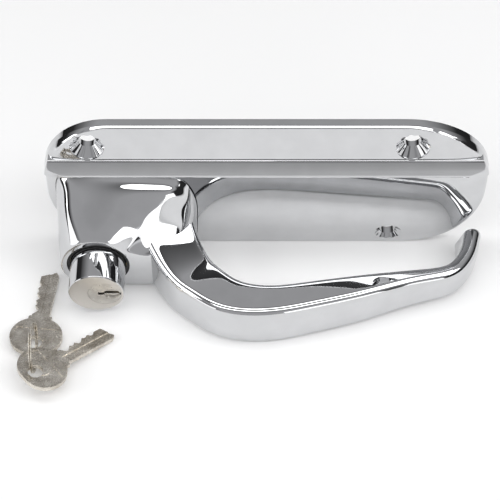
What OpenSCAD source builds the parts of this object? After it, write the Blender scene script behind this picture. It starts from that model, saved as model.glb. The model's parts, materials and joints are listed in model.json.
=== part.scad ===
// Pushbutton door handle with a keyed lock, a fixed pull grip and two keys.
// X runs along the plate, Y goes into the door and Z is up.
// The origin is the middle of the plate's mounting face.

/* [Plate] */
// Length of the plate
plate_len = 176; // [160:1:200]
// Height of the plate
plate_h = 71; // [68:1:78]
// Thickness of the plate at its middle line
plate_crown = 8; // [7.6:0.1:10]
// Radius of the crowned front across the plate
crown_r = 186; // [170:1:260]
// Corner radius above the button
corner_button_r = 26; // [24:1:30]
// Radius of the two lower corners, and of the corner above the grip's tip along the plate
corner_r = 34.5; // [30:0.5:35]
// Height of the rounding above the grip's tip
corner_tip_h = 27.5; // [24:0.5:34]
// Height of the straight rim under the rounded edge
rim_h = 3; // [2.6:0.1:3.4]
// Width of the rib along the plate
rib_w = 7.4; // [6:0.1:9]
// Height of the rib above the mounting face
rib_top = 10.4; // [9:0.1:12]
// Slope of the rib's front: how much lower its upper edge is than its lower edge
rib_slope = 2.8; // [1:0.1:3]
// Height of the rib's middle line above the plate's middle line
rib_z = 16; // [14:0.5:17]
// Rounding of the rib's front edges
rib_edge_r = 0.8; // [0.4:0.1:1.2]
// Depth of the hollow in the plate's back
hollow_depth = 2.2; // [1:0.1:3]

/* [Screw holes] */
// Radius of the fixing screw holes
hole_r = 3.4; // [2.6:0.1:3.6]
// Countersink radius of the two upper holes
sink_r = 6.7; // [5.6:0.1:6.8]
// Countersink radius of the lower hole
low_sink_r = 5.8; // [5:0.1:6.5]
// Distance between the two upper holes
hole_span = 126.5; // [120:0.5:130]
// Distance of the left upper hole from the plate's left end
hole_inset = 18; // [17:0.5:22]
// Height of the upper holes above the plate's middle line
hole_z = 26.2; // [25.5:0.1:26.6]
// Distance of the lower hole from the plate's right end
low_hole_inset = 38; // [34:0.5:44]
// Depth of the lower hole below the plate's middle line
low_hole_drop = 27.4; // [26:0.1:28]

/* [Grip] */
// Reach of the hub's end face from the mounting face
hub_reach = 27.5; // [26.5:0.1:29]
// Reach of the grip from the mounting face
grip_reach = 56; // [52:0.5:64]
// Height of the grip's arm
grip_h = 20.5; // [18:0.5:22]
// Thickness of the arm at its bend
grip_bend_t = 15; // [12:0.1:16]
// Thickness of the arm at its tip
grip_tip_t = 6.2; // [5:0.1:8]
// Radius of the collar round the button
collar_r = 14.6; // [14.2:0.1:15]
// Depth of the hub's foot in the plate, from the mounting face
foot_seat = 4; // [3.6:0.1:4.2]
// Clearance round the hub's foot
foot_gap = 0.15; // [0.1:0.05:0.3]
// Gap between the arm's tip and the mounting face
tip_gap = 8.5; // [8:0.5:12]
// Radius of the screws that hold the grip
grip_screw_r = 2.1; // [1.6:0.1:2.4]
// Length of the screws that hold the grip
grip_screw_len = 10.5; // [8:0.5:11]

/* [Button and lock] */
// Distance of the button's axis from the plate's left end
button_inset = 20.4; // [20:0.1:22]
// Radius of the button
button_r = 11.1; // [10.6:0.1:11.3]
// Reach of the button's face from the mounting face
button_reach = 42; // [40:0.5:46]
// Travel of the button
button_travel = 7; // [4:0.5:7]
// Wall of the guide bush
bush_wall = 1.45; // [1.2:0.05:1.6]
// Length of the guide bush
bush_len = 6; // [5:0.1:6.5]
// Length of the wiper seal
seal_len = 1.6; // [1:0.1:2]
// Radius of the lock plug
plug_r = 6.6; // [6.2:0.1:6.8]
// Distance of the plug's axis from the button's axis
plug_offset = 3.3; // [3:0.1:3.4]
// Length of the lock plug
plug_len = 15; // [14.5:0.1:15.4]
// Height of the keyway
keyway_h = 1.5; // [1.2:0.1:1.8]
// Number of wafers
wafer_count = 4; // [3:1:4]
// Running clearance of the moving pieces
run_gap = 0.05; // [0.03:0.01:0.08]
// Wire diameter of the return spring
spring_wire = 1.2; // [0.8:0.1:1.4]
// Turns of the return spring
spring_turns = 5; // [4:0.5:6]
// Radius of the tail shaft
tail_r = 3; // [2.6:0.1:3.2]
// Reach of the tail shaft behind the mounting face
tail_reach = 13; // [11:0.5:20]
// Throw of the striker from the tail shaft's axis
striker_throw = 9; // [8.5:0.5:12]

/* [Keys] */
// Thickness of a key
key_t = 2; // [1.6:0.1:2.2]
// Width of a key's bow
bow_w = 21; // [19:0.5:23]
// Length of a key's bow along its blade
bow_len = 17.5; // [16:0.5:19]
// Width of a key's blade
blade_w = 7; // [6:0.1:8]
// Distance from a key's hole to its tip
key_reach = 36.5; // [34:0.5:38]
// Radius of the hole in a key's bow
key_hole_r = 3; // [2.8:0.1:3.2]
// Radius of the key ring to the middle of its wire
ring_r = 9.5; // [9:0.1:10.5]
// Radius of the key ring's wire
ring_wire_r = 0.65; // [0.5:0.05:0.7]
// Distance of the key ring from the plate's left end
ring_off = 3.2; // [3:0.1:6]

/* [Hidden] */
$fn = 96;

left_x = -plate_len / 2;
right_x = plate_len / 2;
floor_z = -plate_h / 2;
cut = 0.5;

// Corner ellipses of the plate: x, z, radius along x, radius along z
plate_corners = [
    [left_x + corner_button_r, plate_h / 2 - corner_button_r, corner_button_r, corner_button_r],
    [left_x + corner_r, corner_r - plate_h / 2, corner_r, corner_r],
    [right_x - corner_r, corner_r - plate_h / 2, corner_r, corner_r],
    [right_x - corner_r, plate_h / 2 - corner_tip_h, corner_r, corner_tip_h]];
// Rounded edge of the plate: how far in, and how high
edge_levels = [[0, rim_h], [0.5, rim_h + 1.1], [1.5, rim_h + 1.9], [4, rim_h + 3], [16, rim_h + 6]];
rib_levels = [[0.2, rim_h + 4.6], [0.6, rim_h + 5.5], [1.8, rim_h + 6.3], [5.3, rib_top - 0.6], [9, rib_top + 0.1]];
function crown_at(z) = plate_crown - crown_r + sqrt(crown_r * crown_r - z * z);

// Fixing holes: x, z, countersink radius
upper_holes = [for (i = [0, 1]) [left_x + hole_inset + i * hole_span, hole_z, sink_r]];
low_hole = [right_x - low_hole_inset, -low_hole_drop, low_sink_r];

// Button axis
button_x = left_x + button_inset;
button_z = floor_z + collar_r;
plug_x = button_x + plug_offset;

arm_top = floor_z + grip_h;
// The hub keeps its foot's outline up to this reach
foot_collar = 8;
// Outlines of the hub from its foot to its end face. Each starts with its share of the way, then come points
// round it: how far right of the button's axis, and how high over the floor.
foot = [-6.4, 10.5, -14.9, 23.5, -16.4, 37.5, -12.9, 46.8, -0.4, 48.5, 13.6, 47.9, 27.6, 46.3,
    35.6, 42.5, 39.3, 32.5, 39.6, 21.5, 39.1, 8.5, 35.1, 2.5, 20.6, 2.2, 5.6, 4.5];
hub_outlines = [
    concat(0, foot),
    [0.1, -7.4, 9.5, -15.3, 22.5, -16.1, 36, -12, 45.7, -0.4, 46.3, 13.1, 44.7, 26.1, 43.3,
        34.1, 40.1, 38.8, 31.5, 39.2, 21.5, 38.6, 8, 34.6, 2.3, 20.1, 2.1, 5.1, 3.7],
    [0.23, -8.4, 8, -15.6, 20.5, -15.4, 34, -10.8, 43.4, 0, 43.9, 13.1, 43.6, 25.1, 42.8,
        31.8, 40.1, 37.6, 31, 38.4, 21.5, 37.6, 7.5, 33.1, 2.1, 19.1, 1.8, 4.3, 2.7],
    [0.41, -9.6, 6.4, -15.8, 19, -14.6, 33.5, -9.8, 39.9, 0.1, 40.4, 11.1, 39.8, 21.6, 37.7,
        27.6, 34.3, 34.6, 27.5, 36.4, 20.5, 35.4, 7, 31.1, 1.8, 17.6, 1.6, 3.3, 1.5],
    [0.615, -10.2, 5.3, -15.9, 18, -13.6, 31, -8.6, 35.9, 0.1, 36.5, 9.6, 35.7, 18.1, 33.3,
        23.6, 30, 30.6, 24.7, 33.6, 19.5, 32.6, 6.5, 28.1, 1.5, 15.6, 1.5, 2.1, 0.7],
    [0.82, -10.8, 5, -15.6, 16.5, -12.6, 27, -7.2, 31.8, 0.1, 32.6, 7.6, 31.3, 13.8, 27.7,
        18.4, 25.3, 24.6, 22.5, 28.1, 18.5, 27.6, 6, 24.1, 1.3, 13.1, 1.4, 0.6, 0.3],
    [1, -11.4, 4.5, -15.2, 14.6, -11.5, 23.6, -5.9, 28, 0, 28.9, 5.6, 27.2, 9.4, 23.5,
        12.7, 21.7, 18.1, 20.6, 22, 18.1, 22.4, 5.5, 19.6, 1.2, 10.6, 1.3, -0.4, 0.1]];
outline_steps = 5;

// Fits inside the hub
bush_r = button_r + run_gap + bush_wall;
seal_front = hub_reach - 0.4;
bush_front = seal_front - seal_len;
bush_back = bush_front - bush_len;
barrel_back = bush_back - 4.6;
spring_seat = barrel_back - button_travel - 0.5;
barrel_bore_r = button_r + 0.3;
guide_s = barrel_back + 2.4;
guide_tip_r = 1.5;
plug_back = button_reach - plug_len;
web_t = 2;
barrel_seat = plug_back - web_t;
spigot_r = 4;
spring_out_r = button_r - 1.9;
tail_hole_r = plug_offset + tail_r + 0.5;
clip_t = 0.8;
clip_s = barrel_seat - 0.1 - clip_t;
spigot_back = clip_s - 1.2;
tongue_r = 2;
grip_screws = [for (p = [[5.6, 39.5], [27.6, 33.5], [29.6, 10.5]]) [button_x + p[0], floor_z + p[1]]];
grip_screw_head_r = 2 * grip_screw_r;
striker_t = 3;
striker_boss_r = 4.5;
striker_screw_r = 2;
wafer_pitch = 2.8;
wafer_t = 1.2;

// Arm of the grip: x, reach, thickness, bottom, top, flare of its inner side towards the bottom
bend_s = grip_reach - grip_bend_t / 2;
tip_x = right_x - 3.8;
function arm_t(share) = mix(grip_tip_t, grip_bend_t, share);
arm_path = [
    [button_x + 26.9, foot_collar, arm_t(1.8), floor_z + 2.5, arm_top + 8.5, 0],
    [button_x + 28.6, hub_reach - 9.5, arm_t(1.7), floor_z + 1, arm_top + 4.5, 0],
    [button_x + 35.4, hub_reach + 4, arm_t(1.53), floor_z, arm_top + 1, 0],
    [button_x + 42, bend_s - 9.8, arm_t(1.37), floor_z, arm_top + 0.3, 0],
    [button_x + 50.3, bend_s - 3.5, arm_t(1.26), floor_z, arm_top, 0],
    [button_x + 60.7, bend_s - 0.3, arm_t(1.07), floor_z, arm_top, 0],
    [button_x + 72.3, bend_s - 0.4, arm_t(0.91), floor_z, arm_top, 0],
    [tip_x - 66.2, bend_s - 3, arm_t(0.78), floor_z + 0.3, arm_top - 0.2, 0],
    [tip_x - 47.2, bend_s - 7.3, arm_t(0.55), floor_z + 0.8, arm_top - 0.6, 0],
    [tip_x - 28.9, bend_s - 12.2, arm_t(0.17), floor_z + 1.5, arm_top - 1.8, 0],
    [tip_x - 15.5, bend_s - 15.3, arm_t(0.02), floor_z + 2, arm_top - 2.8, 0],
    [tip_x - 8, bend_s - 19.3, arm_t(0.01), floor_z + 2.3, arm_top - 3.3, 0.5],
    [tip_x - 3.3, bend_s - 26.3, arm_t(0.01), floor_z + 2.5, arm_top - 3.7, 1.5],
    [tip_x - 1.2, bend_s - 32.3, arm_t(0.01), floor_z + 2.8, arm_top - 4, 3],
    [tip_x, tip_gap + grip_tip_t / 2, arm_t(0), floor_z + 3, arm_top - 4.3, 4.5]];
arm_steps = 3;
arm_sides = 28;
arm_edge_r = 2.6;

// Place of the ring, and of the keys on it: drop below the ring's middle, turn of the blade from +X
ring_x = left_x - ring_off;
ring_s = 65;
ring_z = floor_z + ring_r + ring_wire_r + 0.25;
key_slack = 0.5;
key_one_shift = -0.7;
key_two_shift = 1.2;
key_one_drop = 7.1;
key_two_drop = 3.4;
key_one_turn = 84;
key_two_turn = 40;

// Turns x, z, reach into the part's own axes
module face_on() { rotate([90, 0, 0]) children(); }
module at_button() { translate([button_x, button_z, 0]) children(); }
module at_plug() { translate([plug_x, button_z, 0]) children(); }
// A cylinder between two reaches from the mounting face
module rod(r, from, to) { translate([0, 0, from]) cylinder(r = r, h = to - from); }
// A slab in the plate's outline, with its edge rounded by the levels
module rounded_slab(levels) {
    hull() for (level = levels) linear_extrude(level[1])
        for (c = plate_corners) translate([c[0], c[1]])
            scale([1, (c[3] - level[0]) / (c[2] - level[0])]) circle(r = c[2] - level[0]);
}

function mix(a, b, t) = a * (1 - t) + b * t;
function spline_point(a, b, c, d, t) =
    (2 * b + (c - a) * t + (2 * a - 5 * b + 4 * c - d) * t * t + (3 * b - a - 3 * c + d) * t * t * t) / 2;
function spline(p, steps) = let (last = len(p) - 1) [
    for (i = [0 : last - 1]) for (j = [0 : steps - 1])
        spline_point(p[max(i - 1, 0)], p[i], p[i + 1], p[min(i + 2, last)], j / steps),
    p[last]];
function loop_spline(p, steps) = let (n = len(p)) [
    for (i = [0 : n - 1]) for (j = [0 : steps - 1])
        spline_point(p[(i + n - 1) % n], p[i], p[(i + 1) % n], p[(i + 2) % n], j / steps)];
// One outline of the hub in x and z
function hub_points(row) = loop_spline([for (i = [1 : 2 : len(row) - 2])
    [button_x + row[i], floor_z + row[i + 1]]], outline_steps);
// A clockwise outline grown by a gap
function grown(p, gap) = let (n = len(p)) [for (i = [0 : n - 1])
    let (d = unit(p[(i + 1) % n] - p[(i + n - 1) % n])) p[i] + gap * [-d[1], d[0]]];
function unit(v) = v / norm(v);

// A closed skin over rings of points
module skin(rings) {
    n = len(rings[0]);
    last = len(rings) - 1;
    points = [for (ring = rings) each ring];
    sides = [for (k = [0 : last - 1]) for (i = [0 : n - 1]) let (j = (i + 1) % n)
        each [[k * n + i, (k + 1) * n + i, (k + 1) * n + j], [k * n + i, (k + 1) * n + j, k * n + j]]];
    ends = [[for (i = [0 : n - 1]) i], [for (i = [n - 1 : -1 : 0]) last * n + i]];
    polyhedron(points, concat(sides, ends), convexity = 6);
}

module plate_blank() {
    intersection() {
        rounded_slab(edge_levels);
        translate([left_x - cut, 0, plate_crown - crown_r]) rotate([0, 90, 0])
            cylinder(r = crown_r, h = plate_len + 2 * cut, $fn = 720);
    }
}

module rib() {
    half = rib_w / 2;
    intersection() {
        translate([left_x, rib_z, 0]) rotate([90, 0, 90]) linear_extrude(plate_len)
            polygon(concat([[half, cut], [half, rib_top - rib_slope]],
                [for (a = [60 : 24 : 180]) [rib_edge_r * (1 + cos(a)) - half, rib_top - rib_edge_r * (1 - sin(a))]],
                [[-half, cut]]));
        rounded_slab(rib_levels);
    }
}

// A screw hole with a countersink that opens on the crowned front
module sunk_hole(h) {
    front = crown_at(h[1]);
    neck = front - (h[2] - hole_r);
    translate([h[0], h[1], 0]) {
        rod(hole_r, -cut, neck + cut);
        translate([0, 0, neck]) cylinder(r1 = hole_r, r2 = h[2], h = h[2] - hole_r);
        rod(h[2], front, 2 * rib_top);
    }
}

module escutcheon_plate() color("gainsboro") face_on() difference() {
    union() {
        plate_blank();
        rib();
    }
    for (h = upper_holes) sunk_hole(h);
    sunk_hole(low_hole);
    translate([0, 0, foot_seat]) linear_extrude(2 * rib_top)
        polygon(grown(hub_points(hub_outlines[0]), foot_gap));
    at_button() rod(tail_hole_r + 0.4, -cut, foot_seat + cut);
    for (p = grip_screws) translate([p[0], p[1], 0]) {
        rod(grip_screw_r + 0.2, -cut, foot_seat + cut);
        translate([0, 0, -0.01]) cylinder(r1 = grip_screw_head_r + 0.2, r2 = grip_screw_r + 0.2,
            h = grip_screw_head_r - grip_screw_r + 0.01);
    }
    translate([0, 0, -cut]) linear_extrude(hollow_depth + cut) back_hollow();
}

// The back is hollowed between the screw bosses and away from the middle
module back_hollow() {
    r = 14;
    for (x = [8 + r, right_x - 14 - r]) translate([x, 0]) circle(r = r);
    translate([8 + r, -r]) square([right_x - 22 - 2 * r, 2 * r]);
}

module hub() {
    rows = spline(hub_outlines, 2);
    function ring(row, s) = let (p = hub_points(row)) [for (i = [len(p) - 1 : -1 : 0]) concat(p[i], s)];
    skin(concat([ring(rows[0], foot_seat)],
        [for (row = rows) ring(row, mix(foot_collar, hub_reach, row[0]))]));
}

module arm() {
    line = spline(arm_path, arm_steps);
    last = len(line) - 1;
    cap_steps = 4;
    function across(k) = let (a = line[max(k - 1, 0)], b = line[min(k + 1, last)])
        let (t = unit([b[0] - a[0], b[1] - a[1]])) [t[1], -t[0]];
    // A rectangle with rounded edges. The nose cuts it smaller and pushes it along the arm.
    function ring(p, n, cut_back, push) =
        let (w = p[2] / 2 - cut_back, h = (p[4] - p[3]) / 2 - cut_back, r = min(arm_edge_r, w))
        let (flare = p[5] * w / p[2], quarter = arm_sides / 4)
        [for (i = [0 : arm_sides - 1]) let (q = floor(i / quarter), a = 90 * (q + i % quarter / (quarter - 1)))
            let (x = (w - r) * (q == 0 || q == 3 ? 1 : -1) + r * cos(a))
            let (z = (h - r) * (q < 2 ? 1 : -1) + r * sin(a))
            let (side = x + flare * (1 - z / h) * max(0, x / w))
            [p[0] + n[0] * side - n[1] * push, (p[3] + p[4]) / 2 + z, p[1] + n[1] * side + n[0] * push]];
    body = [for (k = [0 : last]) ring(line[k], across(k), 0, 0)];
    nose = [for (j = [1 : cap_steps]) let (a = 80 * j / cap_steps)
        ring(line[last], across(last), grip_tip_t / 2 * (1 - cos(a)), grip_tip_t / 2 * sin(a))];
    skin(concat(body, nose));
}

// Collar round the button, coned to the plate behind
module collar() {
    rotate_extrude() polygon([[0, foot_seat], [6.8, foot_seat], [collar_r, foot_seat + 5],
        [collar_r, hub_reach - 0.8], [collar_r - 0.8, hub_reach], [0, hub_reach]]);
}

module grip_casting() color("silver") face_on() difference() {
    union() {
        hub();
        arm();
        at_button() collar();
    }
    at_button() {
        rod(bush_r + 0.02, bush_back, hub_reach + cut);
        rod(barrel_bore_r, spring_seat, bush_back + cut);
        rod(tail_hole_r, foot_seat - cut, spring_seat + cut);
        translate([0, 0, guide_s]) rotate([90, 0, 0]) cylinder(r = 2.02, h = collar_r + cut);
    }
    for (p = grip_screws) translate([p[0], p[1], 0])
        rod(grip_screw_r + 0.02, foot_seat - cut, grip_screw_len + 0.5);
}

// Countersunk screw from the back of the plate into the grip
module grip_screw(i) color("dimgray") face_on() translate([grip_screws[i - 1][0], grip_screws[i - 1][1], 0])
    difference() {
        union() {
            translate([0, 0, 0.1]) cylinder(r1 = grip_screw_head_r, r2 = grip_screw_r,
                h = grip_screw_head_r - grip_screw_r);
            rod(grip_screw_r, grip_screw_head_r - grip_screw_r, grip_screw_len);
        }
        for (turn = [0, 90]) rotate(turn) cube([grip_screw_head_r, 0.8, 2.4], center = true);
    }

module guide_bush() color("goldenrod") face_on() at_button() difference() {
    rod(bush_r, bush_back, bush_front);
    rod(button_r + run_gap, bush_back - cut, bush_front + cut);
}

module wiper_seal() color("black") face_on() at_button() difference() {
    rod(bush_r, bush_front, seal_front);
    rod(button_r + 0.25, bush_front - cut, seal_front + cut);
}

// Grub screw whose tip keeps the button from turning and stops it going in or out too far
module guide_screw() color("dimgray") face_on() at_button() translate([0, 0, guide_s]) rotate([90, 0, 0])
    difference() {
        union() {
            translate([0, 0, barrel_bore_r]) cylinder(r = 2, h = collar_r - barrel_bore_r - 0.3);
            translate([0, 0, button_r - 0.95]) cylinder(r = guide_tip_r, h = 2);
        }
        translate([0, 0, collar_r - 1.5]) cylinder(r = 1.15, h = 2, $fn = 6);
    }

module button_barrel() color("gainsboro") face_on() difference() {
    at_button() union() {
        rod(button_r, barrel_back, button_reach - 0.6);
        translate([0, 0, button_reach - 0.6]) cylinder(r1 = button_r, r2 = button_r - 0.6, h = 0.6);
    }
    at_button() rod(spring_out_r + 0.15, barrel_back - cut, barrel_seat);
    at_button() guide_slot();
    at_plug() {
        rod(plug_r + run_gap, plug_back - 0.1, button_reach + cut);
        rod(spigot_r + run_gap, barrel_seat - cut, plug_back);
    }
}

// Slot under the button for the guide screw's tip
module guide_slot() {
    half = guide_tip_r + 0.2;
    translate([-half, -button_r - cut, guide_s - half])
        cube([2 * half, cut + 1.1, button_travel + 2 * half]);
}

module return_spring() color("slategray") face_on() at_button() {
    coil_r = spring_out_r - spring_wire / 2;
    wire_r = spring_wire / 2;
    rings_a_turn = 16;
    wire_sides = 8;
    low = spring_seat + wire_r + 0.02;
    rise = barrel_seat - wire_r - 0.02 - low;
    count = spring_turns * rings_a_turn;
    skin([for (k = [0 : count]) let (a = 360 * k / rings_a_turn)
        [for (i = [0 : wire_sides - 1]) let (b = 360 * i / wire_sides, r = coil_r - wire_r * cos(b))
            [r * cos(a), r * sin(a), low + rise * k / count + wire_r * sin(b)]]]);
}

// Keyway, from left of the plug's middle to its right edge
module keyway(from, to) {
    translate([-2.6, -keyway_h / 2, from]) cube([plug_r + 2.6 + cut, keyway_h, to - from]);
}

module wafer_space(i, gap = 0) {
    s = plug_back + 2.6 + (i - 1) * wafer_pitch;
    translate([-5.5 - gap, -2.4 - gap, s - gap]) cube([11 + 2 * gap, 4.8 + 2 * gap, wafer_t + 2 * gap]);
}

module lock_plug() color("lightgray") face_on() at_plug() difference() {
    union() {
        rod(plug_r, plug_back, button_reach);
        rod(spigot_r, spigot_back, plug_back + cut);
    }
    keyway(plug_back + 1, button_reach + cut);
    translate([plug_r - 3.7, 0, 0]) rod(3.1, button_reach - 0.8, button_reach + cut);
    for (i = [1 : wafer_count]) wafer_space(i, 0.05);
    rod(tongue_r + 0.02, spigot_back - cut, plug_back + 0.4);
    difference() {
        rod(spigot_r + cut, clip_s - 0.05, clip_s + clip_t + 0.05);
        rod(spigot_r - 0.6, clip_s - cut, clip_s + clip_t + cut);
    }
}

// Brass wafer with a window for the key
module wafer(i) color("darkgoldenrod") face_on() at_plug() difference() {
    wafer_space(i);
    translate([-2.9, -1.2, plug_back]) cube([7, 2.4, plug_len]);
}

module plug_clip() color("dimgray") face_on() at_plug() difference() {
    rod(spigot_r + 0.5, clip_s, clip_s + clip_t);
    rod(spigot_r - 0.55, clip_s - cut, clip_s + clip_t + cut);
    translate([0, -2.2, clip_s - cut]) cube([2 * spigot_r, 4.4, 2 * cut + clip_t]);
}

module tail_shaft() color("slategray") face_on() at_plug() {
    rod(tongue_r, spigot_back - cut, plug_back + 0.2);
    rod(tail_r, striker_t - tail_reach, spigot_back - 0.05);
    rod(tongue_r, -tail_reach, striker_t + cut - tail_reach);
}

// Arm on the tail shaft that meets the latch, or swings clear of it when the plug is turned
module striker_arm() color("slategray") face_on() at_plug() difference() {
    translate([0, 0, -tail_reach]) linear_extrude(striker_t - 0.05) {
        circle(r = striker_boss_r);
        translate([-striker_throw, 0]) circle(r = striker_boss_r);
        translate([-striker_throw, -striker_boss_r]) square([striker_throw, 2 * striker_boss_r]);
    }
    rod(tongue_r + 0.02, -tail_reach - cut, striker_t - tail_reach + cut);
    translate([-striker_throw, 0, 0]) rod(striker_screw_r + 0.02, -tail_reach - cut, striker_t - tail_reach);
}

module at_striker() { face_on() at_plug() translate([-striker_throw, 0, -tail_reach]) children(); }

module striker_screw() color("dimgray") at_striker() {
    rod(striker_screw_r, -4.5, striker_t + 1.5);
    translate([0, 0, -7]) cylinder(r = 4, h = 2.5, $fn = 6);
}

module striker_nut() color("dimgray") at_striker() difference() {
    translate([0, 0, -3]) cylinder(r = 4, h = 2.95, $fn = 6);
    rod(striker_screw_r + 0.02, -4, 1);
}

// One key in its own axes: its hole at the origin and its blade along +X
module key_blank() {
    bow_mid = bow_len / 2 - 5.5;
    shoulder = bow_mid + bow_len / 2 - 0.8;
    cuts = [4, 2, 3, 1, 2];
    difference() {
        linear_extrude(key_t, center = true) {
            translate([bow_mid, 0]) bow_outline();
            translate([shoulder - 3, -blade_w / 2 - 1.2]) square([5, blade_w + 2.4]);
            polygon([[shoulder, -blade_w / 2], [key_reach - 1.5, -blade_w / 2],
                [key_reach, 1 - blade_w / 2], [key_reach - 2.6, blade_w / 2], [shoulder, blade_w / 2]]);
        }
        cylinder(r = key_hole_r, h = 2 * key_t, center = true);
        for (side = [-1, 1]) translate([bow_mid, 0, side * (key_t - 0.25)])
            linear_extrude(key_t, center = true) bow_panel();
        for (side = [-1, 1]) translate([shoulder + 1.5, -1.2, side * key_t / 2 - 0.35])
            cube([key_reach, 1.3, 0.7]);
        for (i = [0 : len(cuts) - 1]) translate([shoulder + 5.2 + 3.2 * i, blade_w / 2 - 0.5 * cuts[i], 0])
            linear_extrude(2 * key_t, center = true)
                polygon([[-0.5, 0], [0.5, 0], [0.5 + blade_w, blade_w], [-0.5 - blade_w, blade_w]]);
    }
}

// Oval bow, as wide as bow_w across the blade
module bow_outline(inset = 0) {
    r = bow_len / 2 - inset;
    shift = (bow_w - bow_len) / 2;
    for (side = [-1, 1]) translate([0, side * shift]) circle(r = r);
    translate([-r, -shift]) square([2 * r, 2 * shift]);
}

// Sunk field of the bow inside its raised rim, short of the shoulder
module bow_panel() {
    difference() {
        bow_outline(1.3);
        translate([bow_len / 2 - 5, -bow_w]) square(2 * bow_w);
        circle(r = key_hole_r + 0.8);
    }
}

// A key hung on the ring, with its tip on the floor
module laid_key(drop, side, turn, shift) {
    hole_s = ring_s + side * sqrt(pow(ring_r + key_slack, 2) - drop * drop);
    hole_z = ring_z - drop;
    tilt = asin((hole_z - floor_z - key_t / 2) / key_reach);
    translate([ring_x + shift, -hole_s, hole_z]) rotate([0, tilt, 0] + [0, 0, turn]) key_blank();
}

module key_one() color("darkkhaki") laid_key(key_one_drop, -1, key_one_turn, key_one_shift);
module key_two() color("darkkhaki") laid_key(key_two_drop, 1, key_two_turn, key_two_shift);

module key_ring() color("khaki") translate([ring_x, -ring_s, ring_z]) rotate([0, 90, 0]) rotate_extrude()
    for (side = [-1, 1]) translate([ring_r, side * ring_wire_r * 0.85]) circle(r = ring_wire_r, $fn = 32);

escutcheon_plate();
grip_casting();
for (i = [1 : 3]) grip_screw(i);
guide_bush();
wiper_seal();
guide_screw();
button_barrel();
return_spring();
lock_plug();
for (i = [1 : wafer_count]) wafer(i);
plug_clip();
tail_shaft();
striker_arm();
striker_screw();
striker_nut();
key_one();
key_two();
key_ring();
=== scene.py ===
# %% [markdown]
# # Pushbutton door handle
# The looks of a chromed pushbutton door handle are built round its fixed CAD frame.
# Lengths in the shape tables are millimetres: x along the plate, s the reach out of the door, z the height.

import json
import math

import bmesh
import bpy
from mathutils import Matrix, Vector


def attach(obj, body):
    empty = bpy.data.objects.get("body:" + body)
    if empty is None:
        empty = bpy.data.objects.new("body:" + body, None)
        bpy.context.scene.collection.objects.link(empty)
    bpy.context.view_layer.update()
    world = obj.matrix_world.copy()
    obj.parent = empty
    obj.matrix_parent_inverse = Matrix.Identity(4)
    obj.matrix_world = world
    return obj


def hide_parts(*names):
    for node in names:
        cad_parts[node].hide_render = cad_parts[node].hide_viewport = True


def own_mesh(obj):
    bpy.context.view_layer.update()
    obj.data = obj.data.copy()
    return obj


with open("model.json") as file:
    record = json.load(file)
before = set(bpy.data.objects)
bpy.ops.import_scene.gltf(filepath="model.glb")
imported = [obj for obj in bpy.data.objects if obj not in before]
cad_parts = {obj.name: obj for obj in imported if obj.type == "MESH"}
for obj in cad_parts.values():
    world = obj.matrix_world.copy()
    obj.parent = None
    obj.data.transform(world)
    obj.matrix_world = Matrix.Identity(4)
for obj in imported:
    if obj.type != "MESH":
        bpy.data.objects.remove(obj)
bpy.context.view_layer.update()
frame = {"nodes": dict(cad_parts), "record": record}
scene = bpy.context.scene
MM = 0.001
FULL_TURN = 2 * math.pi


def at(x, s, z):
    return Vector((x * MM, -s * MM, z * MM))


def new_object(name, bm):
    bmesh.ops.recalc_face_normals(bm, faces=bm.faces)
    mesh = bpy.data.meshes.new(name)
    bm.to_mesh(mesh)
    bm.free()
    obj = bpy.data.objects.new(name, mesh)
    scene.collection.objects.link(obj)
    return obj


def bake(obj):
    bpy.context.view_layer.update()
    depsgraph = bpy.context.evaluated_depsgraph_get()
    mesh = bpy.data.meshes.new_from_object(obj.evaluated_get(depsgraph))
    obj.modifiers.clear()
    obj.data = mesh


def combine(obj, other, operation):
    mod = obj.modifiers.new(operation.lower(), "BOOLEAN")
    mod.operation = operation
    mod.solver = "EXACT"
    mod.object = other
    bake(obj)
    bpy.data.objects.remove(other)


def dress(obj, finish, body, slot, *nodes, crease=25):
    obj.data.shade_smooth()
    obj.data.set_sharp_from_angle(angle=math.radians(crease))
    obj.data.materials.clear()
    obj.data.materials.append(finish)
    normals = obj.modifiers.new("normals", "WEIGHTED_NORMAL")
    normals.keep_sharp = True
    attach(obj, body)
    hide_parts(*nodes)
    print(obj.name + ":", len(obj.data.polygons), "faces")


# %% [markdown]
# ## Camera
# The camera looks down at the handle from the front, with a long lens, as the photograph does.

# %% Camera
target = at(-6.7, 20, -20.88)
elevation = math.radians(52)
camera_distance = 0.7
camera_data = bpy.data.cameras.new("camera")
camera_data.sensor_width = 36
camera_data.lens = 124.8
camera = bpy.data.objects.new("camera", camera_data)
camera.location = target + camera_distance * Vector((0, -math.cos(elevation), math.sin(elevation)))
camera.rotation_euler = (target - camera.location).to_track_quat("-Z", "Y").to_euler()
scene.collection.objects.link(camera)
scene.camera = camera
scene.view_settings.view_transform = "Standard"
print("camera at", [round(c, 3) for c in camera.location])


# %% [markdown]
# ## Materials
# Every finish is a node tree on object coordinates. One helper makes a metal: a noise changes its colour
# a little, another its roughness, and a fine one its surface.

# %% Materials
def link(tree, a, b):
    tree.links.new(a, b)


def add_node(tree, kind, **settings):
    node = tree.nodes.new(kind)
    for key, value in settings.items():
        if key in node.inputs:
            node.inputs[key].default_value = value
        else:
            setattr(node, key, value)
    return node


def spread(tree, value, ends, result):
    span = add_node(tree, "ShaderNodeMapRange")
    for name, number in zip(("From Min", "From Max", "To Min", "To Max"), (*ends, *result)):
        span.inputs[name].default_value = number
    link(tree, value, span.inputs["Value"])
    return span.outputs["Result"]


def noise_range(tree, scale, low, high):
    where = add_node(tree, "ShaderNodeTexCoord")
    noise = add_node(tree, "ShaderNodeTexNoise", Scale=scale, Detail=3.0)
    link(tree, where.outputs["Object"], noise.inputs["Vector"])
    return spread(tree, noise.outputs["Fac"], (0.3, 0.7), (low, high))


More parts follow.
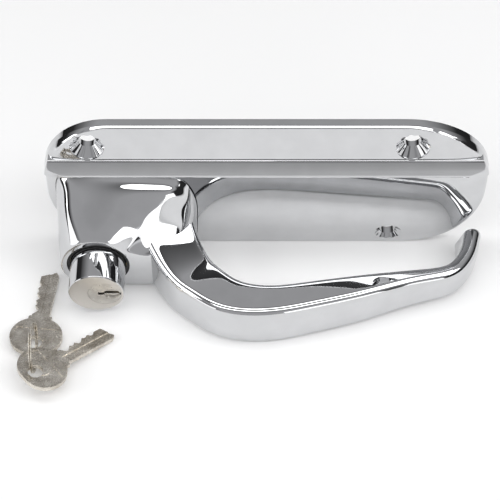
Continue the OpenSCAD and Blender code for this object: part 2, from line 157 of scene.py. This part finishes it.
def metal(name, dark, light, rough, stain_scale=120, grain_scale=900, bump=0.02, metallic=1.0):
    mat = bpy.data.materials.new(name)
    mat.use_nodes = True
    tree = mat.node_tree
    surface = tree.nodes["Principled BSDF"]
    surface.inputs["Metallic"].default_value = metallic
    mix = add_node(tree, "ShaderNodeMix", data_type="RGBA")
    mix.inputs["A"].default_value = (*dark, 1)
    mix.inputs["B"].default_value = (*light, 1)
    link(tree, noise_range(tree, stain_scale, 0, 1), mix.inputs["Factor"])
    link(tree, mix.outputs["Result"], surface.inputs["Base Color"])
    link(tree, noise_range(tree, stain_scale * 2.3, rough[0], rough[1]), surface.inputs["Roughness"])
    if bump:
        grain = add_node(tree, "ShaderNodeBump", Strength=bump, Distance=0.0002)
        link(tree, noise_range(tree, grain_scale, 0, 1), grain.inputs["Height"])
        link(tree, grain.outputs["Normal"], surface.inputs["Normal"])
    return mat


chrome = metal("chrome", (0.6, 0.605, 0.615), (0.64, 0.645, 0.655), (0.015, 0.03), bump=0)
satin = metal("satin_nickel", (0.5, 0.48, 0.45), (0.64, 0.62, 0.58), (0.26, 0.38), 300, 2500, 0.08)
steel = metal("steel", (0.42, 0.43, 0.45), (0.56, 0.57, 0.59), (0.28, 0.42), 200, 1500, 0.06)
spring_steel = metal("spring_steel", (0.28, 0.29, 0.31), (0.4, 0.41, 0.43), (0.25, 0.4), 200, 1500, 0.05)
brass = metal("brass", (0.66, 0.5, 0.24), (0.8, 0.65, 0.36), (0.22, 0.36), 200, 1500, 0.05)
rubber = metal("rubber", (0.012, 0.012, 0.012), (0.03, 0.03, 0.03), (0.5, 0.7), 300, 1200, 0.2, 0.0)
key_metal = metal("key_metal", (0.46, 0.42, 0.36), (0.78, 0.74, 0.67), (0.18, 0.36), 260, 1600, 0.2)
slot_finish = {
    "chrome": chrome,
    "satin_nickel": satin,
    "steel": steel,
    "spring_steel": spring_steel,
    "brass": brass,
    "rubber": rubber,
    "key_metal": key_metal,
}
print("finishes:", sorted(slot_finish))

# %% [markdown]
# ## Floor and light
# A plain white floor lies under the handle.

# %% Floor
floor_white = (0.92, 0.92, 0.92, 1)
bm = bmesh.new()
bmesh.ops.create_grid(bm, x_segments=1, y_segments=1, size=3.0)
bmesh.ops.translate(bm, verts=bm.verts, vec=at(0, 0, -35.55))
floor = new_object("floor", bm)
floor_mat = bpy.data.materials.new("floor")
floor_mat.use_nodes = True
tree = floor_mat.node_tree
surface = tree.nodes["Principled BSDF"]
surface.inputs["Roughness"].default_value = 0.9
surface.inputs["Specular IOR Level"].default_value = 0.0
surface.inputs["Base Color"].default_value = floor_white
surface.inputs["Emission Color"].default_value = floor_white
surface.inputs["Emission Strength"].default_value = 0.1
floor.data.materials.append(floor_mat)
print("floor at", round(floor.data.vertices[0].co.z, 5))

# %% [markdown]
# ## Room and lamps
# The chrome shows a grey room: each side is a list of heights and greys, and the far left and right are dark.
# Soft boxes light the handle from above, and two panels give long highlights.

# %% Room and lamps
world = bpy.data.worlds.new("room")
world.use_nodes = True
scene.world = world
tree = world.node_tree
sky = tree.nodes["Background"]
where = add_node(tree, "ShaderNodeTexCoord")
axes = add_node(tree, "ShaderNodeSeparateXYZ")
link(tree, where.outputs["Generated"], axes.inputs["Vector"])


def room_side(greys):
    ramp = add_node(tree, "ShaderNodeValToRGB")
    while len(ramp.color_ramp.elements) < len(greys):
        ramp.color_ramp.elements.new(0.5)
    for element, (height, grey) in zip(ramp.color_ramp.elements, greys):
        element.position = height
        element.color = (grey, grey, grey * 1.02, 1)
    link(tree, axes.outputs["Z"], ramp.inputs["Fac"])
    return ramp.outputs["Color"]


low_front = [(0, 0.05), (0.02, 0.05), (0.035, 0.9), (0.055, 0.85)]
high_front = [(0.085, 0.5), (0.6, 0.46), (0.97, 0.06)]
front = room_side(low_front + high_front)
rear = room_side([(0, 0.02), (0.3, 0.03), (0.5, 0.2), (0.7, 0.44), (0.85, 0.44), (0.97, 0.06)])
sideways = add_node(tree, "ShaderNodeMath", operation="ABSOLUTE")
link(tree, axes.outputs["X"], sideways.inputs[0])
wall = add_node(tree, "ShaderNodeMath", operation="MAXIMUM")
link(tree, spread(tree, sideways.outputs["Value"], (0.5, 0.68), (1, 0)), wall.inputs[0])
link(tree, spread(tree, axes.outputs["Z"], (0.4, 0.55), (0, 1)), wall.inputs[1])
sides = add_node(tree, "ShaderNodeMix", data_type="RGBA")
sides.inputs["A"].default_value = (0.03, 0.03, 0.031, 1)
link(tree, wall.outputs["Value"], sides.inputs["Factor"])
link(tree, front, sides.inputs["B"])
mix = add_node(tree, "ShaderNodeMix", data_type="RGBA")
link(tree, spread(tree, axes.outputs["Y"], (-0.15, 0.15), (0, 1)), mix.inputs["Factor"])
link(tree, sides.outputs["Result"], mix.inputs["A"])
link(tree, rear, mix.inputs["B"])
link(tree, mix.outputs["Result"], sky.inputs["Color"])


def soft_box(name, place, size, strength):
    lamp = bpy.data.lights.new(name, "AREA")
    lamp.shape = "RECTANGLE"
    lamp.size, lamp.size_y = size
    lamp.energy = strength * size[0] * size[1] * math.pi
    obj = bpy.data.objects.new(name, lamp)
    obj.location = place
    obj.rotation_euler = (target - obj.location).to_track_quat("-Z", "Y").to_euler()
    scene.collection.objects.link(obj)


soft_box("box_left", (-0.75, -0.24, 0.36), (0.4, 0.4), 3.5)
soft_box("box_right", (0.55, -0.2, 0.6), (0.4, 0.4), 3.5)
soft_box("box_front", (0.0, -0.48, 0.95), (1.2, 0.22), 3.5)
soft_box("box_top", (0.0, 0.12, 1.15), (1.4, 0.3), 3.5)
soft_box("panel_left", (-1.05, -0.88, 0.1), (0.6, 0.5), 1.6)
soft_box("panel_right", (0.62, -1.1, 0.1), (0.5, 0.5), 1.6)

# %% [markdown]
# ## Plate
# The plate is a thin casting with a crowned front. A fine grid is fitted into its outline, each point is
# lifted to the crown, and its rim is drawn back to the door.

# %% Plate
plate_reach = 87.98
crown_top, crown_r = 8, 186
rim_height, rim_rise, rim_width, rim_slope = 3, 3.2, 0.6, 0.1
blend_width = 0.22
corners = [(-62, 9.5, 26, 26), (-53.5, -1, 34.5, 34.5), (53.5, -1, 34.5, 34.5), (53.5, 8, 34.5, 27.5)]
turns = [(math.cos(math.radians(a)), math.sin(math.radians(a))) for a in range(0, 360, 2)]


def support(corner, c, s):
    x, z, a, b = corner
    return x * c + z * s + math.hypot(a * c, b * s)


reaches = [(c, s, max(support(k, c, s) for k in corners)) for c, s in turns]


def inset(x, z):
    return max(0, min(reach - x * c - z * s for c, s, reach in reaches))


def edge_z(x, side):
    ends = [corners[0], corners[3]] if side > 0 else [corners[1], corners[2]]
    cx, cz, a, b = ends[0] if x < 0 else ends[1]
    across = max(0, abs(x) - abs(cx))
    return cz + side * b * math.sqrt(max(0, 1 - (across / a) ** 2))


def crown(z):
    return crown_top - crown_r + math.sqrt(crown_r**2 - z * z)


def plate_height(x, z):
    gap = inset(x, z)
    edge = rim_height + rim_rise * (1 - math.exp(-gap / rim_width)) + rim_slope * gap
    middle = crown(z) - 0.05 * max(0, -23 - z)
    return -blend_width * math.log(math.exp(-edge / blend_width) + math.exp(-middle / blend_width))


bm = bmesh.new()
bmesh.ops.create_grid(bm, x_segments=150, y_segments=56, size=1)
for v in bm.verts:
    x = -plate_reach * math.cos(math.pi * (v.co.x + 1) / 2)
    top, bottom = edge_z(x, 1), edge_z(x, -1)
    z = (top + bottom) / 2 + (top - bottom) / 2 * math.sin(math.pi / 2 * v.co.y)
    v.co = at(x, plate_height(x, z), z)
rim = [e for e in bm.edges if e.is_boundary]
back = bmesh.ops.extrude_edge_only(bm, edges=rim)["geom"]
for v in [g for g in back if isinstance(g, bmesh.types.BMVert)]:
    v.co.y = 0
bmesh.ops.contextual_create(bm, geom=[g for g in back if isinstance(g, bmesh.types.BMEdge)])
plate = new_object("plate", bm)
print("plate blank:", len(plate.data.polygons), "faces")


# %% [markdown]
# ## Rings of points
# Long curved shapes are drawn out ring by ring: a circle takes the first outline, its edge is extruded, and
# the new ring takes the next outline.

# %% Rings of points
def loft(bm, rings):
    verts = bmesh.ops.create_circle(bm, segments=len(rings[0]), radius=1)["verts"]
    edges = list(dict.fromkeys(e for v in verts for e in v.link_edges))
    for k, ring in enumerate(rings):
        if k:
            order = {tuple(v.co): i for i, v in enumerate(verts)}
            drawn = bmesh.ops.extrude_edge_only(bm, edges=edges)["geom"]
            edges = [g for g in drawn if isinstance(g, bmesh.types.BMEdge)]
            verts = [g for g in drawn if isinstance(g, bmesh.types.BMVert)]
            verts.sort(key=lambda v: order[tuple(v.co)])
        for v, p in zip(verts, ring):
            v.co = p
    for end in (edges, [e for e in bm.edges if e.is_boundary and e not in edges]):
        bmesh.ops.contextual_create(bm, geom=end)


def turned(bm, x, z, profile, steps=128):
    verts = [bm.verts.new(at(x + r, s, z)) for r, s in profile]
    edges = [bm.edges.new(pair) for pair in zip(verts, verts[1:])]
    bmesh.ops.spin(
        bm, geom=verts + edges, cent=at(x, 0, z), axis=(0, 1, 0), angle=FULL_TURN, steps=steps, use_merge=True
    )
    bmesh.ops.remove_doubles(bm, verts=bm.verts, dist=1e-7)


def rod(bm, x, z, low, high, r):
    turned(bm, x, z, [(0, low), (r, low), (r, high), (0, high)])


# %% [markdown]
# ## Rib
# The rib has a sloped front and runs into the plate's rounded edge at both ends: its bar is cut by a slab
# with the plate's outline.

# %% Rib
def outline(gap, s):
    points = []
    for c, t in turns:
        x, z, a, b = max(corners, key=lambda k: support((k[0], k[1], k[2] - gap, k[3] - gap), c, t))
        a, b = a - gap, b - gap
        reach = math.hypot(a * c, b * t)
        points.append(at(x + a * a * c / reach, s, z + b * b * t / reach))
    return points


bm = bmesh.new()
lower_edge = [(9.2, 12.3), (9.55, 12.3), (10, 12.45), (10.3, 12.75), (10.4, 13.1), (10.3, 13.4)]
front_slope = [(10.1, 13.87), (7.93, 18.87)]
upper_edge = [(7.8, 19.17), (7.68, 19.42), (7.5, 19.58), (7.25, 19.66), (6.95, 19.7), (6.7, 19.7)]
bar = [(3, 12.3), *lower_edge, *front_slope, *upper_edge, (3, 19.7)]
loft(bm, [[at(x, s, z) for s, z in bar] for x in (-90, 90)])
rib = new_object("rib", bm)
bm = bmesh.new()
steep_limit = [(0.2, 1), (0.2, 7.6), (0.35, 8.2), (0.6, 8.6), (1.1, 9)]
flat_limit = [(1.8, 9.3), (3.4, 9.6), (5.3, 9.9), (9, 10.5), (12, 10.9)]
loft(bm, [outline(gap, s) for gap, s in steep_limit + flat_limit])
combine(rib, new_object("rib_limit", bm), "INTERSECT")
combine(plate, rib, "UNION")
print("plate with rib:", len(plate.data.polygons), "faces")

# %% [markdown]
# ## Hub and arm tables
# The hub's outlines and the arm's sections are the CAD frame's. An outline is fourteen pairs of x and z from
# the button's axis and the floor. A section is x, s, thickness, low and high z, and flare. A subdivision
# surface doesn't pass through the points of its cage, so the cage moves outwards until the surface does.

# %% Hub and arm tables
button_x, button_z, plug_x, floor_z = -67.6, -20.9, -64.3, -35.5
hub_end = 27.5
hub_table = {
    8: "-6.4 10.5 -14.9 23.5 -16.4 37.5 -12.9 46.8 -0.4 48.5 13.6 47.9 27.6 46.3"
    " 35.6 42.5 39.3 32.5 39.6 21.5 39.1 8.5 35.1 2.5 20.6 2.2 5.6 4.5",
    9.95: "-7.4 9.5 -15.3 22.5 -16.1 36 -12 45.7 -0.4 46.3 13.1 44.7 26.1 43.3"
    " 34.1 40.1 38.8 31.5 39.2 21.5 38.6 8 34.6 2.3 20.1 2.1 5.1 3.7",
    12.49: "-8.4 8 -15.6 20.5 -15.4 34 -10.8 43.4 0 43.9 13.1 43.6 25.1 42.8"
    " 31.8 40.1 37.6 31 38.4 21.5 37.6 7.5 33.1 2.1 19.1 1.8 4.3 2.7",
    16: "-9.6 6.4 -15.8 19 -14.6 33.5 -9.8 39.9 0.1 40.4 11.1 39.8 21.6 37.7"
    " 27.6 34.3 34.6 27.5 36.4 20.5 35.4 7 31.1 1.8 17.6 1.6 3.3 1.5",
    19.99: "-10.2 5.3 -15.9 18 -13.6 31 -8.6 35.9 0.1 36.5 9.6 35.7 18.1 33.3"
    " 23.6 30 30.6 24.7 33.6 19.5 32.6 6.5 28.1 1.5 15.6 1.5 2.1 0.7",
    23.99: "-10.8 5 -15.6 16.5 -12.6 27 -7.2 31.8 0.1 32.6 7.6 31.3 13.8 27.7"
    " 18.4 25.3 24.6 22.5 28.1 18.5 27.6 6 24.1 1.3 13.1 1.4 0.6 0.3",
    hub_end: "-11.4 4.5 -15.2 14.6 -11.5 23.6 -5.9 28 0 28.9 5.6 27.2 9.4 23.5"
    " 12.7 21.7 18.1 20.6 22 18.1 22.4 5.5 19.6 1.2 10.6 1.3 -0.4 0.1",
}
arm_table = [
    (-40.7, 8, 22.04, -33, -6.5, 0),
    (-39, 18, 21.16, -34.5, -10.5, 0),
    (-32.2, 31.5, 19.66, -35.5, -14, 0),
    (-25.6, 38.7, 18.26, -35.5, -14.7, 0),
    (-17.3, 45, 17.29, -35.5, -15, 0),
    (-6.9, 48.2, 15.62, -35.5, -15, 0),
    (4.7, 48.1, 14.2, -35.5, -15, 0),
    (18, 45.5, 13.06, -35.2, -15.2, 0),
    (37, 41.2, 11.04, -34.7, -15.6, 0),
    (55.3, 36.3, 7.7, -34, -16.8, 0),
    (68.7, 33.2, 6.38, -33.5, -17.8, 0),
    (76.2, 29.2, 6.29, -33.2, -18.3, 0.5),
    (80.9, 22.2, 6.29, -33, -18.7, 1.5),
    (83, 16.2, 6.29, -32.7, -19, 3),
    (84.2, 11.6, 6.2, -32.5, -19.3, 4.5),
]


def cage(points, closed):
    best = points
    for _ in range(30):
        after = best[1:] + best[:1]
        before = best[-1:] + best[:-1]
        best = [(6 * p - a - b) / 4 for p, a, b in zip(points, before, after)]
        if not closed:
            best[0], best[-1] = points[0], points[-1]
    return best


def grown(points, gap):
    result = []
    for i, p in enumerate(points):
        way = points[(i + 1) % len(points)] - points[i - 1]
        result.append(p + gap * Vector((-way.y, way.x)).normalized())
    return result


outlines = []
for s, row in hub_table.items():
    numbers = [float(n) for n in row.split()]
    points = [Vector((button_x + x, floor_z + z)) for x, z in zip(numbers[::2], numbers[1::2])]
    outlines.append((s, points))
print("hub outlines:", len(outlines), "arm sections:", len(arm_table))

# %% [markdown]
# ## Hub
# The hub is a cage of fourteen points round and a few rings deep. Two rings close together at its end keep
# the end face flat and its edge tight.

# %% Hub
foot = outlines[0][1]
end = outlines[-1][1]
near_end = [a.lerp(b, 0.6) for a, b in zip(outlines[-2][1], end)]
hub_rings = [(4, foot), (4.6, foot), *outlines[:-1], (26.1, near_end), (hub_end, end)]
hub_rings += [(hub_end, grown(end, -1.3)), (hub_end, grown(end, -3))]
bm = bmesh.new()
loft(bm, [[at(p.x, s, p.y) for p in cage(ring, True)] for s, ring in hub_rings])
grip = new_object("grip", bm)
rounding = grip.modifiers.new("rounding", "SUBSURF")
rounding.levels = rounding.render_levels = 3
bake(grip)
print("hub:", len(grip.data.polygons), "faces")


# %% [markdown]
# ## Arm
# The arm is a rounded bar that follows a smooth curve and gets thinner towards its tip. There its inner side
# flares out downwards, and its end is rounded.

# %% Arm
tip_r = 3.1
outer_r, inner_r = 3.0, 2.2
arc_points = 9
side_pieces = 6


def smooth_path(rows, steps):
    points = cage([Vector(row) for row in rows], False)
    points = [2 * points[0] - points[1], *points, 2 * points[-1] - points[-2]]
    path = []
    for a, b, c, d in zip(points, points[1:], points[2:], points[3:]):
        for t in (k / steps for k in range(steps)):
            far = (3 * (b - c) + d - a) * t**3 + (3 * a - 6 * b + 3 * c) * t**2 + (3 * c - 3 * a) * t
            path.append((far + a + 4 * b + c) / 6)
    return path + [Vector(rows[-1])]


def section(row, along, cut=0, push=0):
    x, s, thick, low, high, flare = row
    w, h = thick / 2 - cut, (high - low) / 2 - cut
    r_out, r_in = min(outer_r, 0.98 * w), min(inner_r, 0.98 * w)
    corner_list = ((1, 1, r_in), (-1, 1, r_out), (-1, -1, r_out), (1, -1, r_in))
    loop = []
    for k, (side, up, r) in enumerate(corner_list):
        for step in range(arc_points):
            a = math.radians(90 * (k + step / (arc_points - 1)))
            loop.append(Vector((side * (w - r) + r * math.cos(a), up * (h - r) + r * math.sin(a))))
    points = []
    for i, here in enumerate(loop):
        after = loop[(i + 1) % len(loop)]
        pieces = side_pieces if i % arc_points == arc_points - 1 else 1
        for u, v in (here.lerp(after, k / pieces) for k in range(pieces)):
            u += flare * w / thick * (1 - v / h) * max(0, u / w)
            across = Vector((along.y, -along.x)) * u + along * push
            points.append(at(x + across.x, s + across.y, (low + high) / 2 + v))
    return points


path = smooth_path(arm_table, 6)
ways = [Vector((b.x - a.x, b[1] - a[1])).normalized() for a, b in zip(path[:1] + path, path[1:] + path[-1:])]
rings = [section(row, way) for row, way in zip(path, ways)]
for turn in range(1, 8):
    a = math.radians(12 * turn)
    rings.append(section(path[-1], ways[-1], tip_r * (1 - math.cos(a)), tip_r * math.sin(a)))
bm = bmesh.new()
loft(bm, rings)
arm = new_object("arm", bm)
rounding = arm.modifiers.new("rounding", "SUBSURF")
rounding.levels = rounding.render_levels = 1
bake(arm)
combine(grip, arm, "UNION")
print("hub and arm:", len(grip.data.polygons), "faces")

# %% [markdown]
# ## Bores
# The hub is bored for the button and its bush, and drilled for the guide screw and the screws from the plate.

# %% Bores
screw_places = [(-62, 4), (-40, -2), (-38, -25)]
screw_hole_r = 2.12
guide_hole_r = 2.02
bore = [(0, 3), (6.8, 3), (6.8, 7.4), (11.4, 7.4), (11.4, 19.5), (12.62, 19.5), (12.62, 29), (0, 29)]
bm = bmesh.new()
turned(bm, button_x, button_z, bore)
for x, z in screw_places:
    rod(bm, x, z, 3, 11, screw_hole_r)
combine(grip, new_object("bores", bm), "DIFFERENCE")
bm = bmesh.new()
bmesh.ops.create_cone(
    bm,
    cap_ends=True,
    segments=48,
    radius1=guide_hole_r * MM,
    radius2=guide_hole_r * MM,
    depth=6 * MM,
    matrix=Matrix.Translation(at(button_x, 17.3, button_z - 13.6)),
)
combine(grip, new_object("guide_hole", bm), "DIFFERENCE")
dress(grip, chrome, "handle", "chrome", "grip_casting", crease=18)

# %% [markdown]
# ## Holes and back of the plate
# The fixing holes have fluted countersinks in the front. The hub's foot sits in a pocket, and the back has
# a hollow, the hole for the lock's tail and countersinks for the screws that hold the grip.

# %% Holes and back of the plate
hole_r = 3.4
flute_depth = 0.3
ring_points = 44
fixing_holes = [(-70, 26.2, 6.7), (56.5, 26.2, 6.7), (50, -27.4, 5.8)]


def fluted(x, z, s, r, wave):
    points = []
    for k in range(ring_points):
        a = FULL_TURN * k / ring_points
        reach = r + wave * (-1) ** (k // 2)
        points.append(at(x + reach * math.cos(a), s, z + reach * math.sin(a)))
    return points


bm = bmesh.new()
for x, z, sink in fixing_holes:
    front = plate_height(x, z)
    neck = front - (sink - hole_r)
    levels = [(-1, hole_r, 0), (neck, hole_r, 0), (front, sink, flute_depth)]
    levels += [(front + 0.05, sink, 0), (front + 6, sink, 0)]
    loft(bm, [fluted(x, z, s, r, wave) for s, r, wave in levels])
rod(bm, button_x, button_z, -1, 5, 7.2)
for x, z in screw_places:
    turned(bm, x, z, [(0, -1), (4.4, -1), (4.4, 0), (2.3, 2.1), (2.3, 5), (0, 5)])
combine(plate, new_object("hole_cut", bm), "DIFFERENCE")
bm = bmesh.new()
pocket = bmesh.ops.create_circle(bm, cap_ends=True, segments=64, radius=14 * MM)["verts"]
for v in pocket:
    v.co = at(22 + 38 * (v.co.x > 0), -1, 0) + Vector((v.co.x, 0, v.co.y))
drawn = bmesh.ops.extrude_face_region(bm, geom=bm.faces[:])["geom"]
bmesh.ops.translate(bm, verts=[g for g in drawn if isinstance(g, bmesh.types.BMVert)], vec=at(0, 3.2, 0))
combine(plate, new_object("hollow", bm), "DIFFERENCE")
bm = bmesh.new()
loft(bm, [[at(p.x, s, p.y) for p in grown(cage(foot, True), 0.15)] for s in (4, 4.2, 20, 20.2)])
foot_pocket = new_object("foot_pocket", bm)
rounding = foot_pocket.modifiers.new("rounding", "SUBSURF")
rounding.levels = rounding.render_levels = 3
bake(foot_pocket)
combine(plate, foot_pocket, "DIFFERENCE")
dress(plate, chrome, "handle", "chrome", "escutcheon_plate")

# %% [markdown]
# ## Button
# The button is turned: a cup for the spring at its back and a rounded front edge. Its lock bore is beside its
# middle. Its side is polished and its face is ground.

# %% Button
bm = bmesh.new()
cup = [(0, 25), (9.35, 25), (9.35, 14.9)]
side = [(11.1, 14.9), (11.1, 41.3), (11, 41.65), (10.75, 41.9), (10.4, 42)]
turned(bm, button_x, button_z, [*cup, *side, (0, 42)], 160)
button = new_object("button", bm)
bm = bmesh.new()
turned(bm, plug_x, button_z, [(0, 24), (4.05, 24), (4.05, 26.9), (6.65, 26.9), (6.65, 43), (0, 43)])
combine(button, new_object("lock_bore", bm), "DIFFERENCE")
bm = bmesh.new()
slot_place = Matrix.Translation(at(button_x, 20.8, button_z - 10.8))
slot_size = Matrix.Diagonal((0.0034, 0.0104, 0.0016, 1))
bmesh.ops.create_cube(bm, size=1, matrix=slot_place @ slot_size)
combine(button, new_object("guide_slot", bm), "DIFFERENCE")
button_finish = chrome.copy()
button_finish.name = "button_chrome"
tree = button_finish.node_tree
surface = tree.nodes["Principled BSDF"]
where = add_node(tree, "ShaderNodeTexCoord")
axes = add_node(tree, "ShaderNodeSeparateXYZ")
link(tree, where.outputs["Object"], axes.inputs["Vector"])
ground = spread(tree, axes.outputs["Y"], (-0.0418, -0.04195), (0, 1))
for name, value in (("Base Color", (0.58, 0.555, 0.52, 1)), ("Roughness", 0.34), ("Metallic", 1.0)):
    kind = "RGBA" if name == "Base Color" else "FLOAT"
    mix = add_node(tree, "ShaderNodeMix", data_type=kind)
    if surface.inputs[name].is_linked:
        link(tree, surface.inputs[name].links[0].from_socket, mix.inputs["A"])
    else:
        mix.inputs["A"].default_value = surface.inputs[name].default_value
    mix.inputs["B"].default_value = value
    link(tree, ground, mix.inputs["Factor"])
    link(tree, mix.outputs["Result"], surface.inputs[name])
dress(button, button_finish, "button", "chrome", "button_barrel")

# %% [markdown]
# ## Small pieces
# The small pieces are copies of their CAD shapes, with their sharp edges broken.

# %% Small pieces
wide_break, fine_break = 0.12, 0.08
bodies = {node: body for body, nodes in frame["record"]["behaviour"]["bodies"].items() for node in nodes}
slots = {sub["node"]: sub["material_slot"] for sub in frame["record"]["subparts"]}


def broken_edges(node, width):
    bm = bmesh.new()
    bm.from_mesh(frame["nodes"][node].data)
    bmesh.ops.remove_doubles(bm, verts=bm.verts, dist=1e-6)
    bmesh.ops.dissolve_limit(bm, angle_limit=math.radians(0.5), verts=bm.verts, edges=bm.edges)
    sharp = [e for e in bm.edges if e.is_manifold and e.calc_face_angle() > math.radians(35)]
    bmesh.ops.bevel(
        bm,
        geom=sharp,
        offset=width * MM,
        offset_type="OFFSET",
        affect="EDGES",
        segments=2,
        profile=0.5,
        material=-1,
        clamp_overlap=True,
    )
    piece = new_object(node + "_piece", bm)
    dress(piece, slot_finish[slots[node]], bodies[node], slots[node], node, crease=40)


for node in ("key_one", "key_two", "lock_plug", "striker_arm", "striker_screw", "striker_nut"):
    broken_edges(node, wide_break)
for node in ("grip_screw_1", "grip_screw_2", "grip_screw_3", "guide_screw", "tail_shaft", "wiper_seal"):
    broken_edges(node, fine_break)

# %% [markdown]
# ## Key ring
# The split ring is flat wire wound nearly twice round.

# %% Key ring
ring_r = 9.5
ring_turns = 1.9
ring_width = 1.25
wire_x, wire_z = 0.3, 0.62
bm = bmesh.new()
wire = bmesh.ops.create_circle(bm, cap_ends=True, segments=20, radius=1)["verts"]
middle = at(-91.2, 65, -25.1)
for v in wire:
    v.co = middle + Vector((-0.6 + wire_x * v.co.x, 0, ring_r + wire_z * v.co.y)) * MM
steps = 180
bmesh.ops.spin(
    bm,
    geom=bm.faces[:],
    cent=middle,
    axis=(1, 0, 0),
    dvec=(ring_width * MM / steps, 0, 0),
    angle=ring_turns * FULL_TURN,
    steps=steps,
)
dress(new_object("ring", bm), key_metal, "keys", "key_metal", "key_ring")

# %% [markdown]
# ## Return spring
# The spring gets shorter towards its fixed end, on the plate's side, when the button goes in.
# The spring is a copy of its CAD shape with its points merged, on a mesh of its own. Its fixed end is on the
# plate's side.

# %% Return spring
bm = bmesh.new()
bm.from_mesh(frame["nodes"]["return_spring"].data)
bmesh.ops.remove_doubles(bm, verts=bm.verts, dist=1e-6)
spring = new_object("spring", bm)
dress(spring, spring_steel, "handle", "spring_steel", "return_spring", crease=60)
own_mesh(spring)

# %% [markdown]
# ## Finishes of the other pieces
# Each CAD piece that still shows takes the finish of its slot.

# %% Finishes of the other pieces
for node, slot in slots.items():
    piece = frame["nodes"][node]
    if piece.hide_render:
        continue
    piece.data.materials.clear()
    piece.data.materials.append(slot_finish[slot])
    weld = piece.modifiers.new("weld", "WELD")
    weld.merge_threshold = 0.000002
    print("finish:", node, slot)
